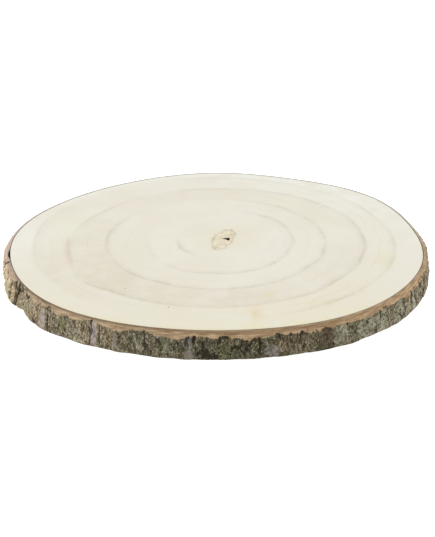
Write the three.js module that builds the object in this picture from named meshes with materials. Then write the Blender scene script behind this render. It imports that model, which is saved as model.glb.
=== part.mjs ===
// A round slice sawn across a log: a pale wood disc about 340 mm wide and 20 mm thick, with a hollow
// pith near its middle, inside its own ring of rough bark.
// Millimetres, +Z up. The slice lies flat on z = 0, with the middle of its outline over the origin.

import * as THREE from "three";

// The slice
const thickness = 20;
const meanWoodRadius = 166; // from the middle of the slice to the wood under the bark, on average
const stationCount = 360; // points round the outline

// Slow waves that take the outline off a true circle: how many bulges, how far they rise, and where
// one of them peaks
const outlineWaves = [
  { bulges: 2, rise: 3.6, peakDegrees: 18 },
  { bulges: 3, rise: 1.45, peakDegrees: -43 },
  { bulges: 4, rise: 0.85, peakDegrees: 37 },
  { bulges: 5, rise: 1.15, peakDegrees: 27.5 },
  { bulges: 6, rise: 0.8, peakDegrees: -19.5 },
  { bulges: 7, rise: 0.45, peakDegrees: -14.5 },
  { bulges: 8, rise: 0.4, peakDegrees: -6 },
];

// The hollow pith, a small ragged channel right through the wood: its centre, off the middle of the
// outline waves, and its outline round that centre
const pithCentre = new THREE.Vector2(6.35, 0);
const pithPoints = 20;
const pithOutline = [
  [-2.7, 0.5],
  [-1.2, 1.5],
  [0.4, 1.3],
  [1.9, 2.4],
  [2.7, 1],
  [2.5, -1.3],
  [2, -3.1],
  [0.7, -2.2],
  [-0.3, -0.8],
];

// The bark
const barkThickness = 5.5;
const seam = 0.3; // the dried-out cambium line between wood and bark
const rimWidth = 1.6; // flat sawn top of the bark, level with the wood
const bevelRun = 4; // the knife-trimmed bevel that bares the inner bark
const bevelDrop = 4.6;
const thinnestBark = 1.6;

// Where the bark has dried away from the wood, a slot open at the top. It is full width over its
// middle, and narrows away over the last part of each end.
const slot = { atDegrees: -169, long: 19, wide: 1, deep: 8, bluntness: 1.6 };

// Long furrows that run up the bark, and the plates and lumps between them. A furrow's reach is how
// far it runs up and down from its middle, and its jitter is a share of the space for each furrow.
const barkSeed = 4111;
const furrows = {
  count: 92,
  jitter: 0.8,
  shallowest: 0.4,
  deepest: 1.7,
  narrowest: 2.4,
  widest: 4.8,
  shortestReach: 11,
  longestReach: 29,
  lean: 5,
  sway: 2.4,
};
const plates = { long: 13, tall: 11, rise: 0.6 };
const lumps = { long: 6.5, tall: 6, rise: 0.45 };

// Stretches where the whole bark is thicker (+) or thinner (-)
const swellings = [
  { atDegrees: -175, long: 50, rise: 1 },
  { atDegrees: -156, long: 44, rise: 3.1 },
  { atDegrees: -148, long: 16, rise: -1.3 },
  { atDegrees: -141, long: 44, rise: 1.9 },
  { atDegrees: -135, long: 42, rise: 1.4 },
  { atDegrees: -115, long: 30, rise: 1.3 },
  { atDegrees: -102, long: 44, rise: 1.6 },
  { atDegrees: -87, long: 120, rise: 0.8 },
  { atDegrees: -37, long: 100, rise: 1.3 },
  { atDegrees: -24, long: 60, rise: 0.8 },
  { atDegrees: 3, long: 100, rise: 1.1 },
  { atDegrees: 52, long: 90, rise: -0.5 },
  { atDegrees: 88, long: 60, rise: 0.9 },
  { atDegrees: 121, long: 80, rise: -0.6 },
  { atDegrees: 160, long: 70, rise: 0.8 },
];

// Deep cracks and broken-off chips: place, height of the middle, width, height and depth
const wounds = [
  { atDegrees: -151, up: 10, long: 4.6, tall: 16, deep: 2.6 },
  { atDegrees: -148, up: 2, long: 7, tall: 10, deep: 1.6 },
  { atDegrees: -97.4, up: 14, long: 5, tall: 7, deep: 2.4 },
  { atDegrees: -28, up: 9, long: 4.5, tall: 12, deep: 1.7 },
  { atDegrees: 16, up: 4, long: 9, tall: 8, deep: 2 },
  { atDegrees: 47, up: 10, long: 4.5, tall: 18, deep: 2.2 },
  { atDegrees: 96, up: 2, long: 10, tall: 7, deep: 2.1 },
  { atDegrees: 141, up: 11, long: 4.6, tall: 16, deep: 2.4 },
];

const woodMaterial = new THREE.MeshStandardMaterial({
  name: "pale sawn wood",
  color: 0xeae4cf,
  roughness: 0.75,
  metalness: 0,
});
const barkMaterial = new THREE.MeshStandardMaterial({
  name: "weathered bark",
  color: 0x756a55,
  roughness: 0.95,
  metalness: 0,
});

// Seeded random numbers from 0 to 1, the same on every run
function makeRandom(seed) {
  let state = seed >>> 0;
  return () => {
    state = (state + 0x6d2b79f5) >>> 0;
    let mixed = Math.imul(state ^ (state >>> 15), state | 1);
    mixed ^= mixed + Math.imul(mixed ^ (mixed >>> 7), mixed | 61);
    return ((mixed ^ (mixed >>> 14)) >>> 0) / 4294967296;
  };
}

// The outline of the wood under the bark
function woodRadius(angle) {
  let radius = meanWoodRadius;
  for (const wave of outlineWaves) {
    const peak = THREE.MathUtils.degToRad(wave.peakDegrees);
    radius += wave.rise * Math.cos(wave.bulges * (angle - peak));
  }
  return radius;
}

// Distance along the outline from one angle to another, the short way round, in millimetres
function arcBetween(angle, other) {
  const turn = Math.atan2(Math.sin(angle - other), Math.cos(angle - other));
  return turn * (meanWoodRadius + barkThickness);
}

// A smooth hump: 1 in the middle, 0 from halfWidth outwards
function hump(distance, halfWidth) {
  const share = Math.min(1, Math.abs(distance) / halfWidth);
  return (1 - share * share) ** 2;
}

// A field of random heights from -1 to 1 that joins up round the ring, smooth between its grid points
function makeHeightField(random, long, tall) {
  const around = Math.round((2 * Math.PI * (meanWoodRadius + barkThickness)) / long);
  const rows = Math.ceil(thickness / tall) + 2;
  const heights = Array.from({ length: around * rows }, () => 2 * random() - 1);
  return (angle, z) => {
    const u = ((angle / (2 * Math.PI) + 1) % 1) * around;
    const v = z / tall;
    const column = Math.floor(u);
    const row = Math.floor(v);
    const across = THREE.MathUtils.smoothstep(u - column, 0, 1);
    const up = THREE.MathUtils.smoothstep(v - row, 0, 1);
    const at = (c, r) => heights[(c % around) * rows + r];
    const lower = THREE.MathUtils.lerp(at(column, row), at(column + 1, row), across);
    const upper = THREE.MathUtils.lerp(at(column, row + 1), at(column + 1, row + 1), across);
    return THREE.MathUtils.lerp(lower, upper, up);
  };
}

const random = makeRandom(barkSeed);
const plateHeight = makeHeightField(random, plates.long, plates.tall);
const lumpHeight = makeHeightField(random, lumps.long, lumps.tall);

// Each furrow: where it stands, how it leans and sways, how far up its middle is, and how far it runs
const furrowList = [];
for (let i = 0; i < furrows.count; i++) {
  furrowList.push({
    angle: ((i + furrows.jitter * random()) / furrows.count) * 2 * Math.PI,
    lean: furrows.lean * (random() - 0.5),
    sway: furrows.sway * (random() - 0.5),
    middle: thickness * random(),
    reach: THREE.MathUtils.lerp(furrows.shortestReach, furrows.longestReach, random()),
    deep: THREE.MathUtils.lerp(furrows.shallowest, furrows.deepest, random()),
    wide: THREE.MathUtils.lerp(furrows.narrowest, furrows.widest, random()),
  });
}

function furrowDepth(angle, z) {
  const up = z / thickness - 0.5;
  let deepest = 0;
  for (const furrow of furrowList) {
    const drift = furrow.lean * up + furrow.sway * Math.sin(2 * Math.PI * up);
    const aside = arcBetween(angle, furrow.angle) - drift;
    if (Math.abs(aside) < furrow.wide) {
      const along = hump(z - furrow.middle, furrow.reach);
      deepest = Math.max(deepest, furrow.deep * along * hump(aside, furrow.wide));
    }
  }
  return deepest;
}

function woundDepth(angle, z) {
  let deepest = 0;
  for (const wound of wounds) {
    const at = THREE.MathUtils.degToRad(wound.atDegrees);
    const aside = hump(arcBetween(angle, at), wound.long / 2);
    deepest = Math.max(deepest, wound.deep * aside * hump(z - wound.up, wound.tall / 2));
  }
  return deepest;
}

// The bark as it grew, before the bevel was trimmed
function grownBarkRadius(angle, z) {
  let thick = barkThickness;
  for (const swelling of swellings) {
    const at = THREE.MathUtils.degToRad(swelling.atDegrees);
    thick += swelling.rise * hump(arcBetween(angle, at), swelling.long / 2);
  }
  thick += plates.rise * plateHeight(angle, z) + lumps.rise * lumpHeight(angle, z);
  thick -= Math.max(furrowDepth(angle, z), woundDepth(angle, z));
  return woodRadius(angle) + Math.max(thinnestBark, thick);
}

function trimmedBarkRadius(angle, z) {
  const bevel = woodRadius(angle) + seam + rimWidth + ((thickness - z) * bevelRun) / bevelDrop;
  return Math.min(grownBarkRadius(angle, z), bevel);
}

// The bark's inner wall, which leaves the wood along the dried-out slot
function innerBarkRadius(angle, z) {
  const at = THREE.MathUtils.degToRad(slot.atDegrees);
  const along = Math.min(1, slot.bluntness * hump(arcBetween(angle, at), slot.long / 2));
  const open = Math.max(0, (z - (thickness - slot.deep)) / slot.deep);
  return woodRadius(angle) + seam + slot.wide * along * open;
}

function stationAngle(station) {
  return (2 * Math.PI * station) / stationCount;
}

function makeWood() {
  const outline = [];
  for (let station = 0; station < stationCount; station++) {
    const angle = stationAngle(station);
    const radius = woodRadius(angle);
    outline.push(new THREE.Vector2(radius * Math.cos(angle), radius * Math.sin(angle)));
  }
  const pith = pithOutline.map(([x, y]) => new THREE.Vector2(x, y).add(pithCentre));
  const loop = new THREE.SplineCurve([...pith, pith[0]]).getPoints(pithPoints).slice(0, -1);
  const face = new THREE.Shape(outline);
  face.holes.push(new THREE.Path(loop));
  const geometry = new THREE.ExtrudeGeometry(face, { depth: thickness, bevelEnabled: false });
  const wood = new THREE.Mesh(geometry, woodMaterial);
  wood.name = "wood";
  return wood;
}

// The bark is one closed ring: the same loop of points at every station, joined to the next station's
function makeBark() {
  const outerHeights = [0, 2.4, 4.9, 7.4, 9.9, 12.4, thickness - bevelDrop];
  const bevelHeights = [thickness - bevelDrop / 2, thickness];
  const innerHeights = [thickness, thickness - slot.deep, 0];
  const loopSize = outerHeights.length + bevelHeights.length + innerHeights.length;

  const positions = [];
  for (let station = 0; station < stationCount; station++) {
    const angle = stationAngle(station);
    const add = (radius, z) =>
      positions.push(radius * Math.cos(angle), radius * Math.sin(angle), z);
    for (const z of [...outerHeights, ...bevelHeights]) add(trimmedBarkRadius(angle, z), z);
    for (const z of innerHeights) add(innerBarkRadius(angle, z), z);
  }

  const indices = [];
  for (let station = 0; station < stationCount; station++) {
    const here = station * loopSize;
    const next = ((station + 1) % stationCount) * loopSize;
    for (let i = 0; i < loopSize; i++) {
      const j = (i + 1) % loopSize;
      indices.push(here + i, next + i, next + j);
      indices.push(here + i, next + j, here + j);
    }
  }

  const geometry = new THREE.BufferGeometry();
  geometry.setAttribute("position", new THREE.Float32BufferAttribute(positions, 3));
  geometry.setIndex(indices);
  geometry.computeVertexNormals();
  const bark = new THREE.Mesh(geometry, barkMaterial);
  bark.name = "bark";
  return bark;
}

const slice = new THREE.Group();
slice.name = "wood_log_slice";
slice.add(makeWood(), makeBark());

// Bring the middle of the outline over the origin
const middle = new THREE.Box3().setFromObject(slice, true).getCenter(new THREE.Vector3());
slice.position.set(-middle.x, -middle.y, 0);

export default slice;
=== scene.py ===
import math

import bpy
import numpy as np
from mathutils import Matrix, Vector
from mathutils.bvhtree import BVHTree


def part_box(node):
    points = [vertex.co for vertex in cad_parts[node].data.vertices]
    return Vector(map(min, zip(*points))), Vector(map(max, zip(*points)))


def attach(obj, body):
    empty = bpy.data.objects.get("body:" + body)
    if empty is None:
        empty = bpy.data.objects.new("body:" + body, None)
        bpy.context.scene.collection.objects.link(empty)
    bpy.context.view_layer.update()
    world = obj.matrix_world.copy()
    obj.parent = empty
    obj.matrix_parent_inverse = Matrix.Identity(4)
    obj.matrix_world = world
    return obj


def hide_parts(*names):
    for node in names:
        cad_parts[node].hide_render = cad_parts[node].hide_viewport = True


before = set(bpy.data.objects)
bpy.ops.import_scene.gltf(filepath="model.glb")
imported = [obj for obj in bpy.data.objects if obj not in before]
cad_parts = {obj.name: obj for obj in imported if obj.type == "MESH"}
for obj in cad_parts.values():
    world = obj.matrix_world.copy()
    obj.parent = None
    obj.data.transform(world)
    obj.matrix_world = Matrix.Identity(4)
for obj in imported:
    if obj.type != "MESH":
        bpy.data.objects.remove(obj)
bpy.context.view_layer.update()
scene = bpy.context.scene
mm = 0.001

woodLow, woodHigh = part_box("wood")
woodMiddle = (woodLow + woodHigh) / 2
thickness = woodHigh.z - woodLow.z
print("frame loaded, slice is", round(thickness / mm, 1), "mm thick")

# the camera, as worked out from the slice's far, near and lower edges in the photo
cameraSetup = {
    "elevation": 24.6,  # degrees above the table
    "distance": 796.8 * mm,
    "aim": Vector((1.07, -39.9, 0)) * mm,  # from the middle of the wood
    "lens": 66.78,
    "sensor": 36,
    "clipEnd": 30,
}


def makeCamera(setup):
    lift = math.radians(setup["elevation"])
    data = bpy.data.cameras.new("photoCamera")
    data.sensor_width = setup["sensor"]
    data.lens = setup["lens"]
    data.clip_end = setup["clipEnd"]
    camera = bpy.data.objects.new("photoCamera", data)
    backwards = Vector((0, -math.cos(lift), math.sin(lift)))
    camera.location = woodMiddle + setup["aim"] + backwards * setup["distance"]
    camera.rotation_euler = (math.pi / 2 - lift, 0, 0)
    scene.collection.objects.link(camera)
    scene.camera = camera


makeCamera(cameraSetup)

# small helpers for node trees, shader and geometry alike


def addNode(tree, kind, inputs=None, **settings):  # an input is another node's output or a constant
    node = tree.nodes.new(kind)
    for key, value in settings.items():
        setattr(node, key, value)
    for key, value in (inputs or {}).items():
        if isinstance(value, bpy.types.NodeSocket):
            tree.links.new(value, node.inputs[key])
        else:
            node.inputs[key].default_value = value
    return node


def maths(tree, operation, *values):
    return addNode(tree, "ShaderNodeMath", dict(enumerate(values)), operation=operation).outputs[0]


def times(tree, first, *others):
    for other in others:
        first = maths(tree, "MULTIPLY", first, other)
    return first


def plus(tree, first, *others):
    for other in others:
        first = maths(tree, "ADD", first, other)
    return first


def sway(tree, noise, reach):  # noise from 0 to 1, turned into a sway either way
    return times(tree, maths(tree, "SUBTRACT", noise, 0.5), reach)


def vectors(tree, operation, *values):
    return addNode(tree, "ShaderNodeVectorMath", dict(enumerate(values)), operation=operation).outputs[0]


def scaled(tree, vector, scale):
    inputs = {0: vector, "Scale": scale}
    return addNode(tree, "ShaderNodeVectorMath", inputs, operation="SCALE").outputs[0]


def joined(tree, x, y, z):
    return addNode(tree, "ShaderNodeCombineXYZ", {"X": x, "Y": y, "Z": z}).outputs[0]


def heightOf(tree, position):
    return addNode(tree, "ShaderNodeSeparateXYZ", {0: position}).outputs["Z"]


def flatRay(tree, position, centre):  # from the centre to the position, and its level direction
    away = vectors(tree, "SUBTRACT", position, (centre.x, centre.y, 0))
    return away, vectors(tree, "NORMALIZE", vectors(tree, "MULTIPLY", away, (1, 1, 0)))


def span(tree, value, low, high, toLow=0.0, toHigh=1.0):  # a smooth step from low to high
    inputs = dict(enumerate((value, low, high, toLow, toHigh)))
    return addNode(tree, "ShaderNodeMapRange", inputs, interpolation_type="SMOOTHSTEP").outputs[0]


def solid(colour):  # a bare colour gets its alpha
    return colour if isinstance(colour, bpy.types.NodeSocket) else (*colour, 1)


def mixed(tree, share, first, second, blend="MIX"):
    inputs = {0: share, 6: solid(first), 7: solid(second)}
    return addNode(tree, "ShaderNodeMix", inputs, data_type="RGBA", blend_type=blend).outputs[2]


def perMetre(tree, size):
    if isinstance(size, bpy.types.NodeSocket):
        return maths(tree, "DIVIDE", 1.0, size)
    return 1 / size


def cloudy(tree, place, size, detail=2.0, rough=0.5, warp=0.0, wanted=0):  # noise of that size
    inputs = {"Vector": place, "Scale": perMetre(tree, size)}
    inputs.update({"Detail": detail, "Roughness": rough, "Distortion": warp})
    return addNode(tree, "ShaderNodeTexNoise", inputs).outputs[wanted]


def cells(tree, place, size, feature="F1"):
    inputs = {"Vector": place, "Scale": perMetre(tree, size)}
    return addNode(tree, "ShaderNodeTexVoronoi", inputs, feature=feature).outputs["Distance"]


def newMaterial(name, specular):
    material = bpy.data.materials.new(name)
    material.use_nodes = True
    shader = material.node_tree.nodes["Principled BSDF"]
    shader.inputs["Specular IOR Level"].default_value = specular
    return material, material.node_tree, shader


def read(tree, name):  # one of the mesh's own attributes, in a material
    return addNode(tree, "ShaderNodeAttribute", attribute_name=name).outputs["Fac"]


def addBump(tree, shader, height, strength, distance):
    bump = addNode(tree, "ShaderNodeBump", {"Strength": strength, "Distance": distance, "Height": height})
    tree.links.new(bump.outputs["Normal"], shader.inputs["Normal"])


def geometryTree(name, inputs):  # a new tree with its named inputs
    tree = bpy.data.node_groups.new(name, "GeometryNodeTree")
    for side in ("INPUT", "OUTPUT"):
        tree.interface.new_socket(name="Geometry", in_out=side, socket_type="NodeSocketGeometry")
    for key, value in inputs.items():
        kind = "NodeSocketInt" if isinstance(value, int) else "NodeSocketFloat"
        tree.interface.new_socket(name=key, in_out="INPUT", socket_type=kind)
    return tree, tree.nodes.new("NodeGroupInput").outputs, tree.nodes.new("NodeGroupOutput")


def field(tree, name):  # one of the mesh's own attributes, in a geometry tree
    return addNode(tree, "GeometryNodeInputNamedAttribute", {"Name": name}, data_type="FLOAT").outputs[0]


def keepValue(tree, geometry, name, value):
    inputs = {"Geometry": geometry, "Name": name, "Value": value}
    settings = {"data_type": "FLOAT", "domain": "POINT"}
    return addNode(tree, "GeometryNodeStoreNamedAttribute", inputs, **settings).outputs[0]


def endTree(tree, geometry, groupOut, material):
    realize = addNode(tree, "GeometryNodeRealizeInstances", {0: geometry})
    inputs = {"Geometry": realize.outputs[0], "Material": material}
    finished = addNode(tree, "GeometryNodeSetMaterial", inputs)
    tree.links.new(finished.outputs[0], groupOut.inputs["Geometry"])
    return tree


def applyTree(piece, tree, inputs):  # runs the tree on the piece and leaves a plain mesh
    modifier = piece.modifiers.new(tree.name, "NODES")
    modifier.node_group = tree
    for item in tree.interface.items_tree:
        if item.in_out == "INPUT" and item.name in inputs:
            modifier[item.identifier] = inputs[item.name]
    depsgraph = bpy.context.evaluated_depsgraph_get()
    mesh = bpy.data.meshes.new_from_object(
        piece.evaluated_get(depsgraph), preserve_all_data_layers=True, depsgraph=depsgraph
    )
    piece.modifiers.remove(modifier)
    old = piece.data
    piece.data = mesh
    bpy.data.meshes.remove(old)
    mesh.name = piece.name


# small helpers for the meshes


def surfaceOf(node):  # the CAD node's faces, for casting rays at
    points = [v.co.copy() for v in node.data.vertices]
    return BVHTree.FromPolygons(points, [tuple(p.vertices) for p in node.data.polygons])


def anglesRound(stations):
    return np.arange(stations) * 2 * math.pi / stations - math.pi


def castRadii(surface, centre, angles, height, fromInside=False):
    farAway = 0.4
    middle = Vector((centre.x, centre.y, height))
    radii = []
    for angle in angles:
        outward = Vector((math.cos(angle), math.sin(angle), 0))
        ray = (middle, outward) if fromInside else (middle + outward * farAway, -outward)
        radii.append((surface.ray_cast(*ray)[0] - middle).length)
    return np.array(radii)


def aroundTo(angles, knownAngles, values, smoothOver):  # values round a ring, at other angles
    window = np.hanning(smoothOver + 2)[1:-1]
    window = window / window.sum()
    reach = smoothOver // 2
    padded = np.concatenate([values[-reach:], values, values[:reach]])
    return np.interp(angles, knownAngles, np.convolve(padded, window, "valid"), period=2 * math.pi)


def hump(distance, halfWidth):  # 1 in the middle, 0 from halfWidth outwards
    share = np.minimum(1, np.abs(distance) / halfWidth)
    return (1 - share * share) ** 2


def turnFrom(degrees, angles):
    other = np.radians(degrees)
    return np.arctan2(np.sin(angles - other), np.cos(angles - other))


def degreesFrom(degrees, angles):
    return np.degrees(turnFrom(degrees, angles))


def spreadRows(rows, angles):  # each of a row's three entries, as a grid of rows x angles
    return [np.array([np.broadcast_to(row[k], angles.shape) for row in rows]) for k in range(3)]


def gridMesh(name, points, values):  # rows x stations x 3 points, closed both ways
    rows, stations = points.shape[:2]
    here = np.arange(rows * stations).reshape(rows, stations)
    upper = np.roll(here, -1, 0)
    faces = np.stack([here, np.roll(here, -1, 1), np.roll(upper, -1, 1), upper], -1)
    mesh = bpy.data.meshes.new(name)
    mesh.from_pydata(points.reshape(-1, 3).tolist(), [], faces.reshape(-1, 4).tolist())
    for key, value in values.items():
        attribute = mesh.attributes.new(key, "FLOAT", "POINT")
        attribute.data.foreach_set("value", np.asarray(value, np.float32).ravel())
    mesh.shade_smooth()
    piece = bpy.data.objects.new(name, mesh)
    scene.collection.objects.link(piece)
    return piece


# the wood: a polar grid round the pith, over the top, down the side, under, and up the hollow pith

woodSetup = {
    "stations": 720,
    "pith": Vector((8.13, -2.37, 0)) * mm,  # from the middle of the wood
    "nearRadius": 24 * mm,  # finer rows round the pith out to here
    "topNear": 26,
    "topFar": 54,
    "underNear": 8,
    "underFar": 24,
    "pithRows": 9,
    "offHollow": 0.012,  # share of a row by which the top's first row stays clear of the hollow
    "edge": 0.35 * mm,  # rounding of the sawn edge
    "edgeCorner": 0.3,  # how far in the middle of the rounding lies, as a share of it
    "pithRagged": 0.35 * mm,
    "pithWaves": (3, 5, 8, 13),
    "pithTwist": 2.5,
    "pithLeast": 0.4,  # how ragged it is at its lower end, as a share of that
    "pithInset": 0.4,  # how far inside the faces it begins and ends, as a share of the edge
    "seed": 12,
    "hollowReach": 5,  # mm round the hollow, within which its distance is kept
    "bandSoft": 0.22,  # how soft a band's sides are, in rings
    "outermost": 5.9,  # in rings, counted outwards from the pith
    "fleckSpread": 1.6,
}
# the dark growth rings, in mm and degrees: mean radius, how far and where to it sits off the pith, how
# far and where to it is drawn out or bulges, and its arcs: where, over how much, and how dark
rings = [
    {"radius": 40.1, "lean": (3.3, -94), "drawn": (0, 0), "arcs": [(-152, 36, 0.75), (-20, 34, 0.25)]},
    {"radius": 62.9, "lean": (5.1, -149), "drawn": (3.9, 74),
     "arcs": [(-160, 34, 0.3), (-108, 42, 0.75), (-62, 48, 0.8), (-15, 50, 0.75), (45, 44, 0.85)]},
    {"radius": 92.3, "lean": (8.4, -172), "drawn": (2.1, 81),
     "arcs": [(176, 44, 0.75), (-128, 46, 0.9), (-80, 50, 0.75), (-30, 46, 0.8), (15, 44, 0.65),
              (62, 40, 0.65)]},
    {"radius": 122.6, "lean": (7.5, -164), "drawn": (2.4, 55), "bulge": (3.8, -146),
     "arcs": [(-126, 40, 1.0), (-84, 30, 0.7), (-50, 34, 1.0), (-25, 30, 0.9), (4, 44, 0.85),
              (52, 40, 0.7), (96, 46, 0.4), (150, 44, 0.5), (-168, 26, 0.5)]},
    {"radius": 148.7, "lean": (10.7, 162), "drawn": (0, 0),
     "arcs": [(176, 34, 0.5), (-14, 34, 0.65), (28, 30, 0.4), (75, 60, 0.35), (-56, 26, 0.75)]},
]
ringWobble = {"waves": (4, 6, 9, 13), "rise": 0.3, "seed": 31, "bulgeOver": 18, "least": 0.06}
# stains by tint, in mm and degrees: place from the middle of the wood, half length and half width, turn,
# and how strong
stains = {
    "yellow": [
        ((38.3, -109), (12, 13), 0, 0.62),
        ((133, -43.5), (34, 17), 84, 0.55),
        ((79.4, -119), (24, 18), 30, 0.5),
        ((75, -79.7), (20, 24), 0, 0.34),
        ((-31, -114), (24, 18), 0, 0.36),
        ((-76, -89), (20, 12), -30, 0.45),
        ((-110, -102), (30, 22), -60, 0.34),
        ((-121, 36), (34, 18), 70, 0.36),
        ((150, 52), (16, 10), 110, 0.36),
    ],
    "amber": [
        ((28.4, -138), (30, 13), 96, 0.6),
        ((27.5, -139), (14, 6), 96, 0.85),
        ((-81.2, -97.8), (14, 5), -22, 0.6),
    ],
    "pink": [
        ((-121.6, -15), (30, 6.5), 96, 0.8),
        ((-119.8, -30), (28, 6.5), 100, 0.8),
        ((-116.5, -46), (26, 6.5), 106, 0.75),
        ((20, 118), (60, 7), 2, 0.4),
    ],
    "pith": [
        ((5.6, -4), (31, 12.5), 76, 1),
        ((0.5, -14), (12, 8), 60, 0.5),
        ((11.5, 9.5), (9, 9), -30, 0.6),
    ],
    "halo": [((8.1, -2.4), (36, 34), 0, 0.9)],
    "speckled": [
        ((-3, -4), (4, 9), -8, 0.9),
        ((0.3, -22.5), (5, 5), 0, 1),
        ((14.5, 8), (5, 8), 10, 0.9),
        ((10.5, 16), (7, 5), 0, 0.9),
    ],
}
# tints between two rings, counted outwards from the pith: where, over how many degrees, and how strong
bands = {
    "pale": [
        ((0, 2), 180, 60, 0.4), ((0, 2), 5, 60, 0.35), ((4, 5), 60, 80, 0.6),
        ((5, 6), 78, 110, 1.2), ((5, 6), 176, 40, 0.6),
    ],
    "beige": [
        ((3, 4), -140, 70, 1.0), ((3, 4), -92, 50, 0.85), ((3, 4), -30, 45, 0.4),
        ((3, 4), 176, 50, 0.55), ((3, 4), 105, 60, 0.3), ((4, 5), -150, 36, 0.75),
    ],
    "sap": [((4, 5), -68, 65, 0.55), ((5, 6), -80, 60, 0.7), ((5.65, 6.3), -92, 75, 1.3)],
}
# single dark flecks on the face, in mm: place from the middle of the wood, half size, and how dark
flecks = [
    (-28.7, -18.7, 1.3, 0.45),
    (45.9, -49.5, 1.3, 0.4),
    (49.5, -47.8, 1.1, 0.35),
    (-67, -96.6, 1.5, 0.6),
    (-62, -99.5, 1.1, 0.5),
    (-33.9, -128.7, 1.0, 0.9),
]
woodRelief = {"ringRise": 0.05 * mm, "pithSink": 0.25 * mm, "sawRise": 0.03 * mm, "sawSize": 7 * mm}


def ringRadius(ring, angles, random):
    lean, leanTo = ring["lean"]
    drawn, drawnTo = ring["drawn"]
    bulge, bulgeAt = ring.get("bulge", (0, 0))
    radius = ring["radius"] + lean * np.cos(turnFrom(leanTo, angles))
    radius = radius + drawn * np.cos(2 * turnFrom(drawnTo, angles))
    radius = radius + bulge * hump(degreesFrom(bulgeAt, angles), ringWobble["bulgeOver"])
    for wave in ringWobble["waves"]:
        radius = radius + ringWobble["rise"] * np.cos(wave * angles + random.uniform(0, 2 * math.pi))
    return radius * mm


def stainAmount(rows, x, y):
    amount = np.zeros_like(x)
    for (atX, atY), (halfLong, halfWide), degrees, most in rows:
        turn = math.radians(degrees)
        dx = x / mm - atX
        dy = y / mm - atY
        along = (dx * math.cos(turn) + dy * math.sin(turn)) / halfLong
        across = (dy * math.cos(turn) - dx * math.sin(turn)) / halfWide
        amount = np.maximum(amount, most * hump(np.hypot(along, across), 1))
    return amount


def bandAmount(rows, growth, angles, soft):
    amount = np.zeros_like(growth)
    for (low, high), at, over, most in rows:
        inner = np.clip((growth - low) / soft + 0.5, 0, 1)
        outer = np.clip((high - growth) / soft + 0.5, 0, 1)
        amount = np.maximum(amount, most * inner * outer * hump(degreesFrom(at, angles), over))
    return amount


def woodRows(setup, angles, outer, hollow):  # radius, height and facing: 1 up, -1 down, 0 sideways
    random = np.random.default_rng(setup["seed"])
    near = setup["nearRadius"]
    edge = setup["edge"]
    corner = edge * setup["edgeCorner"]
    rows = []
    for share in np.linspace(0, 1, setup["topNear"], endpoint=False):
        rows.append((hollow + (near - hollow) * (share + setup["offHollow"]), thickness, 1))
    for share in np.linspace(0, 1, setup["topFar"]):
        rows.append((near + (outer - edge - near) * share, thickness, 1))
    side = [(corner, thickness - corner), (0, thickness - edge), (0, thickness / 2), (0, edge)]
    for inset, height in [*side, (corner, corner)]:
        rows.append((outer - inset, height, 0))
    for share in np.linspace(0, 1, setup["underFar"], endpoint=False):
        rows.append((outer - edge + (near - outer + edge) * share, 0, -1))
    for share in np.linspace(0, 1, setup["underNear"]):
        rows.append((near + (hollow + edge - near) * share, 0, -1))
    inset = edge * setup["pithInset"]
    for share in np.linspace(0, 1, setup["pithRows"]):
        swell = np.zeros_like(hollow)
        for wave in setup["pithWaves"]:
            phase = random.uniform(0, 2 * math.pi) + setup["pithTwist"] * share
            swell = swell + np.cos(wave * angles + phase) * setup["pithRagged"] / len(setup["pithWaves"])
        shown = setup["pithLeast"] + (1 - setup["pithLeast"]) * share
        rows.append((hollow + swell * shown, inset + (thickness - inset * 2) * share, 0))
    return rows


def ringValues(setup, radii, angles, outer):  # how far out in rings, mm from the nearest ring, its darkness
    random = np.random.default_rng(ringWobble["seed"])
    ringRadii = np.array([ringRadius(ring, angles, random) for ring in rings])
    limits = np.concatenate([[outer * 0], ringRadii, [outer]])
    growth = np.zeros_like(radii)
    for lower, upper in zip(limits[:-1], limits[1:]):
        growth += np.clip((radii - lower) / (upper - lower), 0, 1)
    gaps = radii[None] - ringRadii[:, None]
    nearest = np.abs(gaps).argmin(0)
    ringGap = np.take_along_axis(gaps, nearest[None], 0)[0]
    dark = []
    for ring in rings:
        shown = np.full_like(angles, ringWobble["least"])
        for at, over, amount in ring["arcs"]:
            shown = np.maximum(shown, amount * hump(degreesFrom(at, angles), over))
        dark.append(shown)
    return growth, ringGap / mm, np.array(dark)[nearest, np.arange(len(angles))[None]]


def makeWoodMesh(setup):
    surface = surfaceOf(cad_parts["wood"])
    centre = woodMiddle + setup["pith"]
    angles = anglesRound(setup["stations"])
    outer = castRadii(surface, centre, angles, thickness / 2)
    hollow = castRadii(surface, centre, angles, thickness / 2, fromInside=True)
    rows = woodRows(setup, angles, outer, hollow)
    radii, heights, facing = spreadRows(rows, angles)
    x = radii * np.cos(angles) + centre.x
    y = radii * np.sin(angles) + centre.y

    growth, ringGap, ringDark = ringValues(setup, radii, angles, outer)
    besideX = x - woodMiddle.x
    besideY = y - woodMiddle.y
    fleck = np.zeros_like(radii)
    for atX, atY, half, amount in flecks:
        away = np.hypot(besideX / mm - atX, besideY / mm - atY)
        fleck = np.maximum(fleck, amount * hump(away, half * setup["fleckSpread"]))
    values = {
        "growth": growth,
        "ringGap": ringGap,
        "ringDark": ringDark,
        "face": facing,
        "fromHollow": np.minimum((radii - hollow) / mm, setup["hollowReach"]),
        "fleck": fleck * (facing == 1),
    }
    for tint, stained in stains.items():
        values[tint] = stainAmount(stained, besideX, besideY)
    for tint, tinted in bands.items():
        bounded = np.minimum(growth, setup["outermost"])
        values[tint] = bandAmount(tinted, bounded, angles[None], setup["bandSoft"])
    return gridMesh("woodDisc", np.stack([x, y, heights], -1), values)


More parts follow.
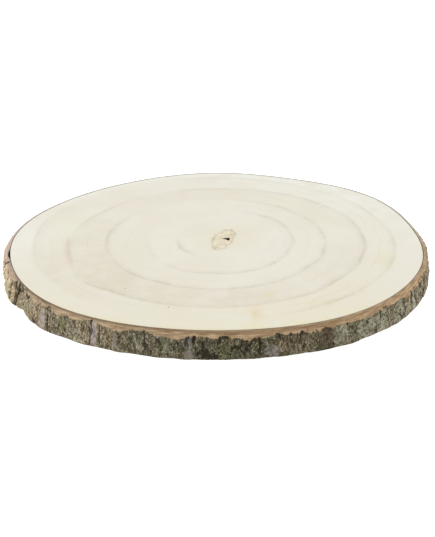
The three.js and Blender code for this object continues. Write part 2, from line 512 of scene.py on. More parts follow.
# the wood's colours, of which some go from dark to light, and its noises: size, detail and roughness
woodTones = {
    "broad": ((0.75, 0.71, 0.60), (0.77, 0.74, 0.645)),
    "greenish": (0.74, 0.755, 0.60),
    "rosy": (0.77, 0.70, 0.61),
    "pale": (0.81, 0.80, 0.73),
    "beige": (0.70, 0.65, 0.535),
    "sap": (0.755, 0.705, 0.525),
    "halo": (0.74, 0.685, 0.53),
    "pith": ((0.69, 0.60, 0.43), (0.77, 0.705, 0.53)),
    "pithRim": (0.47, 0.385, 0.26),
    "speck": (0.36, 0.28, 0.17),
    "yellow": (0.72, 0.65, 0.36),
    "amber": (0.73, 0.60, 0.35),
    "pink": (0.69, 0.55, 0.475),
    "ring": (0.45, 0.395, 0.30),
    "fineRing": (0.47, 0.43, 0.33),
    "ray": (0.85, 0.83, 0.72),
    "pore": (0.45, 0.38, 0.26),
    "fleck": (0.22, 0.17, 0.11),
    "crumbly": (0.06, 0.038, 0.02),
    # side: stained wood with painted shade down the slot; hollow: painted shade in the hole, over its dark
    # crumbly wood
    "side": (0.20, 0.14, 0.085),
    "hollow": (0.022, 0.014, 0.008),
}
woodNoise = {
    "broad": (55 * mm, 3, 0.55),
    "green": (40 * mm, 2),
    "rosy": (35 * mm, 2),
    "patchy": (20 * mm, 3, 0.6),
    "edge": (6 * mm, 4, 0.65),
    "broken": (4.5 * mm, 3, 0.6),
    "speck": (2.6 * mm, 3, 0.6),
    "wear": (18 * mm, 3, 0.6),
    "line": (4 * mm, 3, 0.6),
    "rays": (30 * mm, 2, 0.6),
    "sanding": (1.2 * mm, 3, 0.6),
    "crumbs": (1.8 * mm, 3, 0.6),
}
poreSize = 1.2 * mm
fineRings = 8  # to the space between two dark rings


def makeWoodMaterial(setup):
    material, tree, shader = newMaterial("pale sawn wood", 0.28)
    place = addNode(tree, "ShaderNodeTexCoord").outputs["Object"]
    growth = read(tree, "growth")
    tone = woodTones

    def noise(name, at=place):
        return cloudy(tree, at, *woodNoise[name])

    # broad tints
    broad = noise("broad")
    colour = mixed(tree, span(tree, broad, 0.35, 0.65), *tone["broad"])
    green = noise("green", vectors(tree, "ADD", place, (0.7, 0.2, 0)))
    colour = mixed(tree, span(tree, green, 0.52, 0.72, 0, 0.28), colour, tone["greenish"])
    rosy = noise("rosy", vectors(tree, "ADD", place, (0.1, 0.9, 0)))
    colour = mixed(tree, span(tree, rosy, 0.54, 0.72, 0, 0.35), colour, tone["rosy"])
    patchy = span(tree, noise("patchy"), 0.35, 0.6, 0.35, 1)
    for tint in bands:
        share = maths(tree, "MINIMUM", times(tree, read(tree, tint), patchy), 1)
        colour = mixed(tree, share, colour, tone[tint])

    # the halo and the tan stain round the pith
    edgeShift = sway(tree, noise("edge"), 0.9)
    colour = mixed(tree, times(tree, read(tree, "halo"), 0.7), colour, tone["halo"])
    pith = plus(tree, read(tree, "pith"), edgeShift)
    broken = mixed(tree, span(tree, noise("broken"), 0.42, 0.6), *tone["pith"])
    colour = mixed(tree, span(tree, pith, 0.2, 0.42, 0, 0.8), colour, broken)
    rim = times(tree, span(tree, pith, 0.2, 0.3), span(tree, pith, 0.3, 0.5, 0.35, 0))
    colour = mixed(tree, rim, colour, tone["pithRim"])
    speck = noise("speck")
    speckled = plus(tree, read(tree, "speckled"), times(tree, edgeShift, 0.6))
    speckShare = times(tree, span(tree, speck, 0.47, 0.6), span(tree, speckled, 0.15, 0.6))
    colour = mixed(tree, times(tree, speckShare, 0.5), colour, tone["speck"])

    # yellow, amber and pink stains
    for tint in ("yellow", "amber", "pink"):
        amount = plus(tree, read(tree, tint), times(tree, edgeShift, 0.5))
        share = times(tree, span(tree, amount, 0.02, 0.82, 0, 0.75), read(tree, tint))
        colour = mixed(tree, share, colour, tone[tint])

    # the dark rings, uneven and broken in places, and the faint fine rings between them
    wear = noise("wear")
    strength = times(tree, read(tree, "ringDark"), span(tree, wear, 0.3, 0.62, 0.35, 1.0))
    gap = plus(tree, read(tree, "ringGap"), sway(tree, noise("line"), 3.0), sway(tree, wear, 3.0))
    softLine = times(tree, span(tree, gap, -8, 0.0), span(tree, gap, 0.4, 3.4, 1, 0))
    core = times(tree, span(tree, gap, -2.8, -0.3), span(tree, gap, 0.2, 2.0, 1, 0))
    line = plus(tree, times(tree, softLine, 0.19), times(tree, core, 0.25))
    colour = mixed(tree, times(tree, line, strength), colour, tone["ring"])
    wave = maths(tree, "PINGPONG", plus(tree, times(tree, growth, fineRings), times(tree, broad, 1.4)), 0.5)
    fine = times(tree, span(tree, wave, 0.25, 0.5, 0, 0.055), span(tree, wear, 0.42, 0.65))
    colour = mixed(tree, fine, colour, tone["fineRing"])

    # rays from the pith, open pores and flecks
    fromPith, ray = flatRay(tree, place, woodMiddle + setup["pith"])
    radius = addNode(tree, "ShaderNodeVectorMath", {0: fromPith}, operation="LENGTH").outputs["Value"]
    rayAt = vectors(tree, "ADD", ray, joined(tree, 0, 0, times(tree, radius, 6)))
    colour = mixed(tree, span(tree, noise("rays", rayAt), 0.5, 0.75, 0, 0.10), colour, tone["ray"])
    poreShare = times(tree, span(tree, cells(tree, place, poreSize), 0.12, 0.3, 1, 0), 0.10)
    colour = mixed(tree, poreShare, colour, tone["pore"])
    colour = mixed(tree, span(tree, read(tree, "fleck"), 0.15, 0.6, 0, 0.7), colour, tone["fleck"])

    # the hollow pith is dark and crumbly, as is its edge, and its walls are painted almost black, painted
    # shade in the hole as well; the side of the disc is darkened towards the bark, stained wood with painted
    # shade down the slot
    crumbly = plus(tree, read(tree, "fromHollow"), sway(tree, speck, 1))
    colour = mixed(tree, span(tree, crumbly, 0.15, 0.95, 0.85, 0), colour, tone["crumbly"])
    flat = span(tree, maths(tree, "ABSOLUTE", read(tree, "face")), 0.2, 0.8)
    side = maths(tree, "SUBTRACT", 1.0, flat)
    colour = mixed(tree, times(tree, side, span(tree, growth, 5, 5.9, 0, 0.75)), colour, tone["side"])
    colour = mixed(tree, times(tree, span(tree, growth, 0.0, 0.25, 1, 0), side), colour, tone["hollow"])
    tree.links.new(colour, shader.inputs["Base Color"])

    tree.links.new(plus(tree, 0.56, times(tree, broad, 0.16)), shader.inputs["Roughness"])
    sanding = noise("sanding", vectors(tree, "MULTIPLY", place, (0.12, 1, 1)))
    height = plus(tree, times(tree, sanding, 0.5), times(tree, poreShare, -3), times(tree, speckShare, -1.5))
    addBump(tree, shader, height, strength=0.35, distance=0.12 * mm)
    return material


def woodReliefTree(material):
    tree, given, groupOut = geometryTree("sawnRelief", woodRelief)
    position = addNode(tree, "GeometryNodeInputPosition").outputs[0]
    gap = field(tree, "ringGap")
    ridge = times(tree, span(tree, gap, -2.4, 0.0), span(tree, gap, 0.0, 1.2, 1, 0), given["ringRise"])
    crumbs = span(tree, cloudy(tree, position, *woodNoise["crumbs"]), 0.4, 0.7)
    sink = times(tree, span(tree, field(tree, "pith"), 0.3, 0.9), crumbs, given["pithSink"])
    chatter = cloudy(tree, vectors(tree, "MULTIPLY", position, (0.25, 1, 1)), given["sawSize"])
    chatter = times(tree, maths(tree, "SUBTRACT", chatter, 1.0), given["sawRise"])
    lift = plus(tree, maths(tree, "SUBTRACT", ridge, sink), chatter)
    lift = maths(tree, "SUBTRACT", lift, given["ringRise"])  # so that no ring stands over the solid
    offset = joined(tree, 0, 0, times(tree, lift, field(tree, "face")))
    move = addNode(tree, "GeometryNodeSetPosition", {"Geometry": given["Geometry"], "Offset": offset})
    return endTree(tree, move.outputs[0], groupOut, material)


woodDisc = makeWoodMesh(woodSetup)
applyTree(woodDisc, woodReliefTree(makeWoodMaterial(woodSetup)), woodRelief)
print("wood disc:", len(woodDisc.data.polygons), "faces")

# the bark: one ring whose base is the CAD bark, with its plates, lumps and cracks from a tree of nodes

barkSetup = {
    "outline": Vector((1.79, -2.35, 0)) * mm,  # the outline's own centre, from the middle of the wood
    "stations": 2304,
    "castStations": 720,
    "outerRows": 29,
    "rimWidth": 1.6 * mm,
    "seam": 0.3 * mm,
    "bevelRun": 4 * mm,
    "bevelDrop": 4.6 * mm,
    "castHeights": (0.3, 2.4, 4.9, 7.4, 9.9, 12.4, 15.2),  # mm
    "castInset": 0.05 * mm,  # how far inside the faces the inner wall is cast
    "innerHeights": (1, 0.94, 0.86, 0.73, 0.6, 0.3, 0),  # shares of the thickness
    "rimSteps": (0.55, 0.2),  # mm out from the inner wall
    "footSteps": (0.3, 0.8),
    "footChip": 0.55 * mm,
    "footChipUp": 1.6 * mm,
    "shoulderFrom": 7,  # mm up, from where the shoulders slope in
    "shoulderGain": 1.25,
    "leastWall": 0.9 * mm,
    "patchFill": 2.2,
}
# patches on the bark by look: degrees round the slice, then height of the middle, width and height in mm,
# and how strong
patches = {
    "pink": [(-136.4, 8, 10, 22, 0.8), (-120.9, 8, 8.5, 36, 0.9), (-36.8, 10.5, 5, 7, 0.8)],
    "grey": [
        (-114.8, 7, 5, 26, 0.5), (-97.2, 12.8, 9.5, 14, 0.8), (-97.0, 2.8, 9, 15, 0.8),
        (-77.3, 4.8, 15, 14, 0.75), (78, 9, 12, 24, 0.8),
    ],
    "moss": [
        (-129.9, 11, 9, 16, 0.5), (-141, 8, 10, 14, 0.35), (-103, 10, 10, 20, 0.45),
        (-88, 7, 16, 18, 0.4), (-55.5, 12, 14, 14, 0.5), (150, 6, 30, 16, 0.4),
    ],
    "lichen": [
        (-108.5, 8, 14, 24, 0.36), (-102, 7, 12, 20, 0.33), (-126, 6, 16, 20, 0.36),
        (-146, 10, 22, 20, 0.42), (-157, 7, 20, 20, 0.42), (-59.8, 8, 15, 30, 0.72),
        (-52, 8, 26, 30, 0.5), (-46.5, 8, 20, 30, 0.62), (-39, 8, 30, 30, 0.5),
        (-14, 9, 40, 24, 0.4), (35, 8, 50, 24, 0.6), (118, 8, 40, 22, 0.6),
    ],
    "rusty": [(-63.6, 11, 18, 26, 0.55), (-71, 14, 22, 14, 0.45)],
    "pale": [(-31.9, 7, 6.5, 24, 0.65)],
}
# stretches that are lighter or darker than the rest, partly painted light and shade: where in degrees, half
# length in mm, and how much
# the lighter ends are painted light from the sides and the darker front is painted shade, together with the
# bark's own lighter and darker stretches
paintedLightAndToneStretches = [
    (-172, 75, 1.0), (-158, 28, 0.6), (-143, 60, 0.6), (-122, 36, 0.42), (-55, 22, 0.15),
    (-22, 110, 0.5), (-63.6, 13, -0.5), (40, 150, 0.3), (150, 120, 0.5), (-86, 70, -0.3),
]
blush = [(178, 125, 1)]  # where the trimmed edge is pinkish, in the same way
# where the bark slopes in to the wood at its top edge, so that little of it was trimmed away: where in
# degrees, half length in mm, and by how many mm
shoulders = [
    (-170, 26, 0.8), (-158, 32, 3.0), (-145, 40, 2.8), (-136, 26, 1.5), (-126, 30, 0.2),
    (-118, 32, 1.7), (-109, 26, 1.1), (-101, 34, 0.9), (-84, 50, 0.6), (-70, 40, 0.7),
    (-51, 28, 0.25), (-36, 46, 1.5), (-18, 50, 1.9), (-4, 30, 1.5),
]
# the trimmed edge by degrees: how far out from the wood its dark streak lies, in mm, how dark that is, how
# light and how grey the edge is, and how pale its rim is, which the photo hardly shows on the far side
trimmedAt = (-180, -145, -125, -104, -94, -72, -58, -40, -10, 30, 150, 179.9)
trimmed = {
    "streakOut": (1.2, 1.2, 1.2, 1.5, 2.6, 3.0, 2.6, 2.8, 2.6, 1.5, 1.2, 1.2),
    "streakDark": (0.5, 0.8, 0.85, 0.95, 0.72, 0.7, 0.45, 0.3, 0.3, 0.5, 0.5, 0.5),
    "edgeLight": (1.0, 1.0, 1.1, 1.0, 1.03, 1.04, 1.07, 1.14, 1.2, 1.1, 1.0, 1.0),
    "edgeGrey": (0.9, 0.9, 0.8, 0.5, 0.2, 0.1, 0.0, 0.0, 0.0, 0.2, 0.6, 0.9),
    "rimPale": (0.2, 0.0, 0.0, 0.0, 0.0, 0.0, 0.0, 0.0, 0.0, 0.9, 1.0, 0.2),
}
# narrow cracks: from and to, each in degrees and mm up, half width and depth in mm
cracks = [
    ((-163.9, 20.4), (-167.2, 14.2), 1.3, 2.4),
    ((-150.5, 19.5), (-151.1, 0.5), 1.15, 2.6),
    ((-147.4, 6), (-147, 0.4), 1.6, 1.2),
    ((-119.2, 15), (-119.0, 2), 0.8, 1.1),
    ((-95.8, 17), (-96.0, 12), 1.4, 1.8),
    ((-12, 15), (-13.2, 2), 0.7, 1.2),
    ((60, 16), (61.4, 1), 0.8, 1.6),
    ((112, 16), (111, 2), 0.7, 1.4),
]
crackShape = {"beyond": 0.15, "spread": 1.5, "endsOver": 0.66, "bluntness": 0.35}
# the dried-out slot is wider at the top than the CAD's: degrees, and half length, extra width and the
# height from where it widens in mm
slotOpening = {"at": -169.5, "over": 11, "by": 0.25, "from": 11}
barkRelief = {
    "plateSize": 7 * mm,
    "plateRise": 0.34 * mm,
    "lumpSize": 2.5 * mm,
    "lumpRise": 0.58 * mm,
    "grainSize": 1.3 * mm,
    "grainRise": 0.42 * mm,
    "crackSize": 9 * mm,
    "crackDepth": 0.8 * mm,
    "upright": 0.5,  # how far features are drawn out up the bark
    "footCalm": 0.45,  # how much of the relief reaches the floor
    "lift": 0.35 * mm,  # the same outwards all round the foot
    "seed": 7.0,
}


def mmFrom(degrees, angles, radius):
    return turnFrom(degrees, angles) * radius / mm


def shareUp(height, low):  # how far up from that many mm to the top face
    return (height / mm - low) / (thickness / mm - low)


def stretchSum(rows, angles, radius):
    total = np.zeros_like(angles)
    for at, over, amount in rows:
        total = total + amount * hump(mmFrom(at, angles, radius), over)
    return total


def lookAmount(rows, angles, heights, radius, fill):
    amount = np.zeros_like(heights)
    for at, middle, wide, tall, most in rows:
        aside = mmFrom(at, angles, radius) / (wide / 2)
        up = (heights / mm - middle) / (tall / 2)
        amount = np.maximum(amount, most * np.minimum(1, fill * hump(np.hypot(aside, up), 1)))
    return amount


def crackDepth(angles, heights, radius):
    beyond = crackShape["beyond"]
    depth = np.zeros_like(heights)
    for (startAt, startUp), (endAt, endUp), half, deep in cracks:
        share = np.clip((heights / mm - startUp) / (endUp - startUp), -beyond, 1 + beyond)
        line = startAt + (endAt - startAt) * share
        across = hump(mmFrom(line, angles, radius), half * crackShape["spread"])
        ends = hump(share - 0.5, crackShape["endsOver"]) ** crackShape["bluntness"]
        depth = np.maximum(depth, deep * across * ends)
    return depth * mm


def makeBarkMesh(setup):
    surface = surfaceOf(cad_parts["bark"])
    woodSurface = surfaceOf(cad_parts["wood"])
    centre = woodMiddle + setup["outline"]
    known = anglesRound(setup["castStations"])
    angles = anglesRound(setup["stations"])
    wood = aroundTo(angles, known, castRadii(woodSurface, centre, known, thickness / 2), 5)
    castHeights = np.array(setup["castHeights"]) * mm
    grownAt = [aroundTo(angles, known, castRadii(surface, centre, known, h), 5) for h in castHeights]
    grownAt[-1] = np.maximum(grownAt[-1], grownAt[-2])
    meanRadius = float(wood.mean())

    def innerAt(height):  # the inner wall, with the dried-out slot
        inset = min(max(height, setup["castInset"]), thickness - setup["castInset"])
        radius = aroundTo(angles, known, castRadii(surface, centre, known, inset, fromInside=True), 3)
        opening = np.minimum(1, 2 * hump(mmFrom(slotOpening["at"], angles, meanRadius), slotOpening["over"]))
        opening = opening * min(max(shareUp(height, slotOpening["from"]), 0), 1)
        return radius + slotOpening["by"] * mm * opening

    rows = []  # radius, height, and 1 on the outside, 2 on the inner wall, 0 on the rim and foot
    for height in np.linspace(0, thickness, setup["outerRows"]):
        lower = np.clip(np.searchsorted(castHeights, height) - 1, 0, len(castHeights) - 2)
        share = (height - castHeights[lower]) / (castHeights[lower + 1] - castHeights[lower])
        share = min(max(share, 0), 1)
        grown = grownAt[lower] * (1 - share) + grownAt[lower + 1] * share
        grown = grown - setup["footChip"] * (1 - min(height / setup["footChipUp"], 1)) ** 2
        rise = max(shareUp(height, setup["shoulderFrom"]), 0) * setup["shoulderGain"]
        grown = grown - stretchSum(shoulders, angles, meanRadius) * mm * rise
        rows.append((grown, height, 1))
    topInner = innerAt(thickness)
    for step in setup["rimSteps"]:
        rows.append((topInner + step * mm, thickness, 0))
    for share in setup["innerHeights"]:
        rows.append((innerAt(thickness * share), thickness * share, 2))
    footInner = innerAt(0)
    for step in setup["footSteps"]:
        rows.append((footInner + step * mm, 0, 0))

    radii, heights, kinds = spreadRows(rows, angles)
    outer = (kinds == 1) * 1.0
    bevel = wood + setup["seam"] + setup["rimWidth"]
    bevel = bevel + (thickness - heights) * setup["bevelRun"] / setup["bevelDrop"]
    inner = np.array([innerAt(height) if kind == 1 else angles * 0 for _, height, kind in rows])
    crack = crackDepth(angles[None], heights, meanRadius) * outer
    start = np.where(outer > 0, np.minimum(radii, bevel) - crack, radii)
    points = [centre.x + start * np.cos(angles), centre.y + start * np.sin(angles), heights]

    fromWood = (np.minimum(radii, bevel) - wood) / mm
    values = {
        # where shade is painted on the inner wall down the slot
        "inside": kinds == 2,
        "grown": radii - crack,
        "bevel": bevel - crack,
        "least": inner + setup["leastWall"],
        "outer": outer,
        "crack": crack / mm,
        "fromWood": fromWood,
        "paintedLightAndTone": np.broadcast_to(stretchSum(paintedLightAndToneStretches, angles, meanRadius), heights.shape),
        "blush": np.broadcast_to(stretchSum(blush, angles, meanRadius), heights.shape),
    }
    for key, given in trimmed.items():
        values[key] = np.broadcast_to(np.interp(np.degrees(angles), trimmedAt, given), heights.shape)
    values["fromStreak"] = fromWood - values.pop("streakOut")
    for look, patched in patches.items():
        amount = lookAmount(patched, angles[None], heights, meanRadius, setup["patchFill"])
        values[look] = amount * outer
    return gridMesh("barkRing", np.stack(points, -1), values)


# the bark's colours and noises, given as the wood's are but that one noise is distorted, and its patches:
# dark and light colour, how much they cover, and how far down the pits they reach
barkTones = {
    # pits and crests: the bark's own colours, with painted shade in the relief's hollows and painted light
    # on its crests
    "pitsWithPaintedShade": ((0.019, 0.016, 0.009), (0.105, 0.092, 0.056)),
    "crestsWithPaintedLight": (0.33, 0.30, 0.22),
    "warmer": (1.16, 0.99, 0.84),
    # painted light and shade with the bark's own tone, by the stretches above
    "paintedLightAndPaler": (2.4, 2.15, 2.05),
    "paintedShadeAndDarker": (0.72, 0.74, 0.66),
    # painted shade: the near-black in the splits that are sunk into the relief
    "split": (0.02, 0.015, 0.009),
    "inner": ((0.26, 0.165, 0.085), (0.46, 0.325, 0.19)),
    "blotch": (0.50, 0.37, 0.215),
    "bast": ((0.17, 0.12, 0.07), (0.36, 0.27, 0.17)),
    "streak": ((0.13, 0.075, 0.036), (0.27, 0.16, 0.08)),
    "greyer": (0.95, 1.01, 1.13),
    "blush": (0.54, 0.40, 0.33),
    "corky": (0.13, 0.085, 0.05),
    "rim": (0.80, 0.76, 0.68),
    # painted shade: the near-black down the slot's inner wall and in the cracks
    "inside": (0.03, 0.02, 0.012),
}
barkNoise = {
    "grit": (1 * mm, 4, 0.72),
    "chunks": (2.8 * mm, 3, 0.65, 0.6),
    "warm": (9 * mm, 3, 0.6),
    "mottle": (3 * mm, 3, 0.6),
    "level": (0.9 * mm, 3, 0.6),
    "blotch": (6 * mm, 3, 0.6),
    "corky": (1.4 * mm, 3, 0.7),
    "wander": (6 * mm, 2),
    "split": (11 * mm, 1),
    "fibre": (1.1 * mm, 2),
}
barkLooks = {
    "grey": ((0.13, 0.118, 0.098), (0.27, 0.24, 0.205), 0.85, -1.15),
    "pink": ((0.20, 0.16, 0.135), (0.40, 0.335, 0.295), 0.85, -1.15),
    "moss": ((0.075, 0.085, 0.03), (0.20, 0.21, 0.10), 0.6, -0.55),
    "lichen": ((0.175, 0.172, 0.11), (0.46, 0.445, 0.325), 0.62, -0.55),
    "rusty": ((0.05, 0.034, 0.021), (0.17, 0.115, 0.078), 0.6, -0.7),
    "pale": ((0.26, 0.26, 0.215), (0.44, 0.435, 0.375), 0.8, -0.8),
}
wanderBy = 5 * mm
fibreRise = 0.5 * mm
crestHeight = 1.1 * mm  # relief that counts as 1 for the colours
raggedBy = 1.21  # how far the grit breaks the edges of patches and of the trimmed bevel


def barkReliefTree(material, centre):
    tree, given, groupOut = geometryTree("barkRelief", barkRelief)
    position = addNode(tree, "GeometryNodeInputPosition").outputs[0]
    up = heightOf(tree, position)
    outward = flatRay(tree, position, centre)[1]
    place = vectors(tree, "MULTIPLY", position, joined(tree, 1, 1, given["upright"]))
    place = vectors(tree, "ADD", place, joined(tree, given["seed"], 0, 0))
    wander = vectors(tree, "SUBTRACT", cloudy(tree, place, *barkNoise["wander"], wanted="Color"), (0.5,) * 3)
    place = vectors(tree, "ADD", place, vectors(tree, "MULTIPLY", wander, (wanderBy,) * 3))

    def rise(kind, detail, rough):
        noise = cloudy(tree, place, given[kind + "Size"], detail, rough)
        return times(tree, sway(tree, noise, 3.2), given[kind + "Rise"])

    smooth = maths(tree, "MAXIMUM", field(tree, "grey"), field(tree, "pink"))
    calm = span(tree, smooth, 0.25, 0.6, 1, 0.4)
    calm = times(tree, calm, span(tree, up, 0.0, 4 * mm, given["footCalm"], 1))
    plate = rise("plate", 1, 0.5)
    lump = rise("lump", 2, 0.55)
    grain = rise("grain", 2, 0.6)
    edge = cells(tree, place, given["crackSize"], "DISTANCE_TO_EDGE")
    where = span(tree, cloudy(tree, place, *barkNoise["split"]), 0.5, 0.62)
    split = times(tree, span(tree, edge, 0.02, 0.16, 1, 0), where)
    relief = maths(tree, "SUBTRACT", plus(tree, plate, lump, grain), times(tree, split, given["crackDepth"]))

    lift = times(tree, span(tree, up, 6 * mm, 15 * mm, 1, 0), given["lift"])
    grown = plus(tree, field(tree, "grown"), times(tree, relief, calm), lift)
    fibre = cloudy(tree, vectors(tree, "MULTIPLY", position, (0.15, 0.15, 1)), *barkNoise["fibre"])
    bevel = plus(tree, field(tree, "bevel"), sway(tree, fibre, fibreRise))
    radius = maths(tree, "MAXIMUM", maths(tree, "MINIMUM", grown, bevel), field(tree, "least"))
    target = vectors(tree, "ADD", joined(tree, centre.x, centre.y, up), scaled(tree, outward, radius))

    geometry = given["Geometry"]
    crest = plus(tree, lump, grain, times(tree, plate, 0.5))
    geometry = keepValue(tree, geometry, "relief", maths(tree, "DIVIDE", crest, crestHeight))
    geometry = keepValue(tree, geometry, "split", split)
    over = maths(tree, "SUBTRACT", grown, bevel)
    geometry = keepValue(tree, geometry, "cut", maths(tree, "DIVIDE", over, mm))
    chosen = maths(tree, "GREATER_THAN", field(tree, "outer"), 0.5)
    inputs = {"Geometry": geometry, "Selection": chosen, "Position": target}
    move = addNode(tree, "GeometryNodeSetPosition", inputs)
    return endTree(tree, move.outputs[0], groupOut, material)


def weatheredColour(tree, place, grit):
    tone = barkTones
    paintedLightAndTone = read(tree, "paintedLightAndTone")
    chunks = cloudy(tree, vectors(tree, "MULTIPLY", place, (1, 1, 0.8)), *barkNoise["chunks"])
    gritty = plus(tree, sway(tree, grit, 4.4), sway(tree, chunks, 1.6))
    height = plus(tree, times(tree, read(tree, "relief"), 0.75), gritty, times(tree, paintedLightAndTone, 0.35), 0.07)
    height = plus(tree, height, read(tree, "tone"))

    # dark olive pits, grey-brown flanks, light grey crests, following the relief: painted shade down its
    # hollows and painted light on its crests, with the bark's own colours
    colour = mixed(tree, span(tree, height, -0.8, 0.1), *tone["pitsWithPaintedShade"])
    colour = mixed(tree, span(tree, height, 0.1, 0.9), colour, tone["crestsWithPaintedLight"])
    warm = cloudy(tree, vectors(tree, "MULTIPLY", place, (1, 1, 0.5)), *barkNoise["warm"])
    warmed = mixed(tree, 1.0, colour, tone["warmer"], "MULTIPLY")
    colour = mixed(tree, span(tree, warm, 0.45, 0.65, 0, 0.6), colour, warmed)
    # painted light and shade along the stretches, with the bark's own lighter and darker tone
    paintedLightAndToneFactor = mixed(tree, span(tree, paintedLightAndTone, 0.0, 1.5), (1, 1, 1), tone["paintedLightAndPaler"])
    paintedLightAndToneFactor = mixed(tree, span(tree, paintedLightAndTone, -0.5, 0.0, 1, 0), paintedLightAndToneFactor, tone["paintedShadeAndDarker"])
    colour = mixed(tree, 1.0, colour, paintedLightAndToneFactor, "MULTIPLY")

    # patches, each with a broken edge
    mottle = span(tree, cloudy(tree, place, *barkNoise["mottle"]), 0.38, 0.62)
    for look, (dark, light, most, pitsBelow) in barkLooks.items():
        amount = plus(tree, read(tree, look), sway(tree, grit, raggedBy))
        share = span(tree, amount, 0.22, 0.55, 0, most)
        share = times(tree, share, span(tree, height, pitsBelow, pitsBelow + 0.85))
        colour = mixed(tree, share, colour, mixed(tree, mottle, dark, light))
    # the splits, sunk into the relief, are painted almost black: painted shade in them
    return mixed(tree, span(tree, read(tree, "split"), 0.3, 0.9, 0, 0.8), colour, tone["split"])


def trimmedColour(tree, place, level):  # the knife-cut inner bark: tan, with level streaks
    tone = barkTones
    colour = mixed(tree, span(tree, level, 0.36, 0.64), *tone["inner"])
    blotch = cloudy(tree, place, *barkNoise["blotch"])
    colour = mixed(tree, span(tree, blotch, 0.45, 0.7, 0, 0.45), colour, tone["blotch"])
    away = plus(tree, read(tree, "fromWood"), times(tree, level, 1.6))
    bast = times(tree, span(tree, away, 2.3, 4.0, 0.85, 0), read(tree, "streakDark"))
    colour = mixed(tree, bast, colour, mixed(tree, level, *tone["bast"]))
    aside = plus(tree, read(tree, "fromStreak"), sway(tree, blotch, 2.2))
    streak = span(tree, maths(tree, "ABSOLUTE", aside), 0.2, 1.3, 0.85, 0)
    streak = times(tree, streak, read(tree, "streakDark"))
    colour = mixed(tree, streak, colour, mixed(tree, level, *tone["streak"]))
    lit = scaled(tree, colour, read(tree, "edgeLight"))
    greyer = mixed(tree, 1.0, lit, tone["greyer"], "MULTIPLY")
    colour = mixed(tree, read(tree, "edgeGrey"), lit, greyer)
    rosy = times(tree, read(tree, "blush"), span(tree, level, 0.25, 0.6, 0.6, 0.95))
    colour = mixed(tree, rosy, colour, tone["blush"])
    corky = span(tree, cloudy(tree, place, *barkNoise["corky"]), 0.57, 0.7, 0, 0.5)
    colour = mixed(tree, corky, colour, tone["corky"])
    rim = times(tree, span(tree, read(tree, "fromWood"), 1.5, 2.6, 1, 0), read(tree, "rimPale"))
    return mixed(tree, rim, colour, tone["rim"])


def makeBarkMaterial():
    material, tree, shader = newMaterial("rough bark", 0.18)
    place = addNode(tree, "ShaderNodeTexCoord").outputs["Object"]
    grit = cloudy(tree, vectors(tree, "MULTIPLY", place, (1, 1, 0.5)), *barkNoise["grit"])
    level = cloudy(tree, vectors(tree, "MULTIPLY", place, (0.08, 0.08, 1)), *barkNoise["level"])
    cut = plus(tree, read(tree, "cut"), sway(tree, grit, raggedBy))
    within = maths(tree, "SUBTRACT", 1.0, span(tree, read(tree, "outer"), 0.2, 0.8))
    cutShare = maths(tree, "MAXIMUM", span(tree, cut, -0.1, 0.35), within)
    colour = mixed(tree, cutShare, weatheredColour(tree, place, grit), trimmedColour(tree, place, level))
    # painted shade: the inner wall down the slot and the cracks are painted almost black
    dark = maths(tree, "MAXIMUM", span(tree, read(tree, "crack"), 0.25, 0.9), read(tree, "inside"))
    colour = mixed(tree, times(tree, dark, 0.9), colour, barkTones["inside"])
    tree.links.new(colour, shader.inputs["Base Color"])
    tree.links.new(span(tree, cutShare, 0, 1, 0.93, 0.74), shader.inputs["Roughness"])
    height = plus(tree, grit, times(tree, level, times(tree, cutShare, 0.5)))
    addBump(tree, shader, height, strength=0.6, distance=0.6 * mm)
    return material


barkMaterial = makeBarkMaterial()
barkRing = makeBarkMesh(barkSetup)
applyTree(barkRing, barkReliefTree(barkMaterial, woodMiddle + barkSetup["outline"]), barkRelief)
print("bark ring:", len(barkRing.data.polygons), "faces")

# what lies on the bark, spread over the finished ring: loose scales, crusts of lichen, torn slivers

# by the square metre; half width, half height up the bark and half depth; the smallest as a share of the
# full size; how far over the trimmed edge they may stand, in mm; from how much lichen; how light; a seed
crumbs = [
    {"name": "barkScales", "density": 200000.0, "shape": (0.5 * mm, 1.0 * mm, 0.3 * mm), "least": 0.55,
     "cutFrom": -99.0, "cutTo": -0.15, "lichenFrom": -1.0, "toneFrom": -0.8, "toneTo": 1.1, "seed": 5},
    {"name": "lichenCrust", "density": 260000.0, "shape": (0.5 * mm, 0.55 * mm, 0.24 * mm), "least": 0.4,
     "cutFrom": -99.0, "cutTo": -0.3, "lichenFrom": 0.42, "toneFrom": 0.2, "toneTo": 1.0, "seed": 9},
    {"name": "tornSlivers", "density": 420000.0, "shape": (0.24 * mm, 0.85 * mm, 0.2 * mm), "least": 0.4,
     "cutFrom": -0.45, "cutTo": 0.35, "lichenFrom": -1.0, "toneFrom": 0.0, "toneTo": 0.9, "seed": 14},
]
crumbsFrom = 1.3 * mm  # they lie between these heights, clear of the floor and the top face
crumbsTo = 19.2 * mm
crumbLean = ((-0.6, -0.6, 0.6), (0.6, 0.6, 1.4))  # the least and most of the way their long side points


def randomValue(tree, low, high, seed):
    inputs = {2: low, 3: high, 8: seed}
    return addNode(tree, "FunctionNodeRandomValue", inputs, data_type="FLOAT").outputs[1]


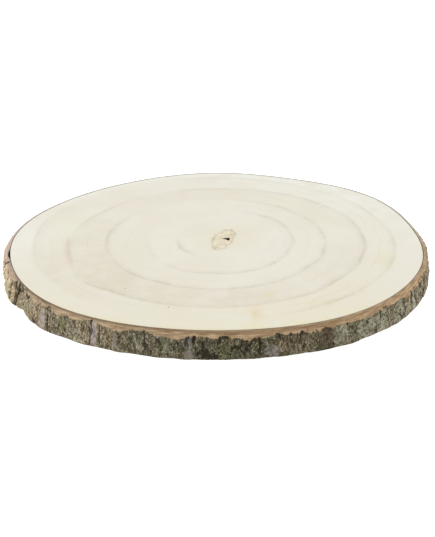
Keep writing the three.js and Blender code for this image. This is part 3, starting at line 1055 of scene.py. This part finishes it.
def crumbTree(setup, sockets, material):
    tree, given, groupOut = geometryTree(setup["name"], sockets)
    position = addNode(tree, "GeometryNodeInputPosition").outputs[0]
    limits = (
        (field(tree, "cut"), given["cutFrom"], given["cutTo"]),
        (field(tree, "outer"), 0.9, 2.0),
        (field(tree, "lichen"), given["lichenFrom"], 2.0),
        (field(tree, "grey"), -1.0, 0.3),
        (field(tree, "pink"), -1.0, 0.3),
        (heightOf(tree, position), crumbsFrom, crumbsTo),
    )
    density = given["density"]
    for value, low, high in limits:
        above = maths(tree, "GREATER_THAN", value, low)
        density = times(tree, density, above, maths(tree, "LESS_THAN", value, high))
    inputs = {"Mesh": given["Geometry"], "Density": density, "Seed": given["seed"]}
    spread = addNode(tree, "GeometryNodeDistributePointsOnFaces", inputs, distribute_method="RANDOM")
    tone = randomValue(tree, given["toneFrom"], given["toneTo"], given["seed"])
    points = keepValue(tree, spread.outputs["Points"], "tone", tone)

    # each stands on the bark, its long side more or less upright
    inputs = {"Vector": spread.outputs["Normal"]}
    stand = addNode(tree, "FunctionNodeAlignRotationToVector", inputs, axis="Z").outputs[0]
    inputs = {0: crumbLean[0], 1: crumbLean[1], 8: given["seed"]}
    lean = addNode(tree, "FunctionNodeRandomValue", inputs, data_type="FLOAT_VECTOR").outputs[0]
    inputs = {"Rotation": stand, "Vector": lean}
    turned = addNode(tree, "FunctionNodeAlignRotationToVector", inputs, axis="Y", pivot_axis="Z").outputs[0]
    size = randomValue(tree, given["least"], 1, plus(tree, given["seed"], 1))
    chip = addNode(tree, "GeometryNodeMeshIcoSphere", {"Radius": 1, "Subdivisions": 1}).outputs["Mesh"]
    scale = scaled(tree, joined(tree, *setup["shape"]), size)
    inputs = {"Points": points, "Instance": chip, "Rotation": turned, "Scale": scale}
    place = addNode(tree, "GeometryNodeInstanceOnPoints", inputs)
    return endTree(tree, place.outputs[0], groupOut, material)


def makeCrumbs(setup, ring, material):
    piece = bpy.data.objects.new(setup["name"], ring.data.copy())
    scene.collection.objects.link(piece)
    sockets = {key: setup[key] for key in setup if key not in ("name", "shape")}
    applyTree(piece, crumbTree(setup, sockets, material), sockets)
    print(setup["name"] + ":", len(piece.data.polygons), "faces")
    return piece


looseBark = [makeCrumbs(setup, barkRing, barkMaterial) for setup in crumbs]

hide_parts("wood")
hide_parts("bark")
for piece in (woodDisc, barkRing, *looseBark):
    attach(piece, "root")

# a bright, even studio: a white floor, and large soft lights from both sides and above

studio = {
    "sky": 0.55,
    "floorSize": 12,
    "floorColour": (0.9, 0.9, 0.9),
    "floorGlow": 0.6,
    "floorRoughness": 0.9,
    "floorSpecular": 0.1,
    "lights": [
        {"name": "leftSoftbox", "at": (-1.5, -0.35, 0.75), "size": 1.2, "power": 13},
        {"name": "rightSoftbox", "at": (1.5, -0.1, 0.75), "size": 1.2, "power": 9},
        {"name": "topSoftbox", "at": (0, 0.35, 1.7), "size": 1.8, "power": 9},
    ],
}


def makeStudio(setup):
    world = bpy.data.worlds.new("softStudio")
    world.use_nodes = True
    background = world.node_tree.nodes["Background"]
    background.inputs["Color"].default_value = solid((1, 1, 1))
    background.inputs["Strength"].default_value = setup["sky"]
    scene.world = world
    scene.view_settings.view_transform = "Standard"

    bpy.ops.mesh.primitive_plane_add(size=setup["floorSize"])
    floor = bpy.context.object
    floor.name = "studioFloor"
    material, _, shader = newMaterial("white floor", setup["floorSpecular"])
    shader.inputs["Roughness"].default_value = setup["floorRoughness"]
    shader.inputs["Base Color"].default_value = solid(setup["floorColour"])
    shader.inputs["Emission Color"].default_value = solid((1, 1, 1))
    shader.inputs["Emission Strength"].default_value = setup["floorGlow"]
    floor.data.materials.append(material)

    for light in setup["lights"]:
        data = bpy.data.lights.new(light["name"], "AREA")
        data.shape = "DISK"
        data.size = light["size"]
        data.energy = light["power"]
        lamp = bpy.data.objects.new(light["name"], data)
        lamp.location = light["at"]
        lamp.rotation_euler = (woodMiddle - lamp.location).to_track_quat("-Z", "Y").to_euler()
        scene.collection.objects.link(lamp)


makeStudio(studio)
print("studio ready")
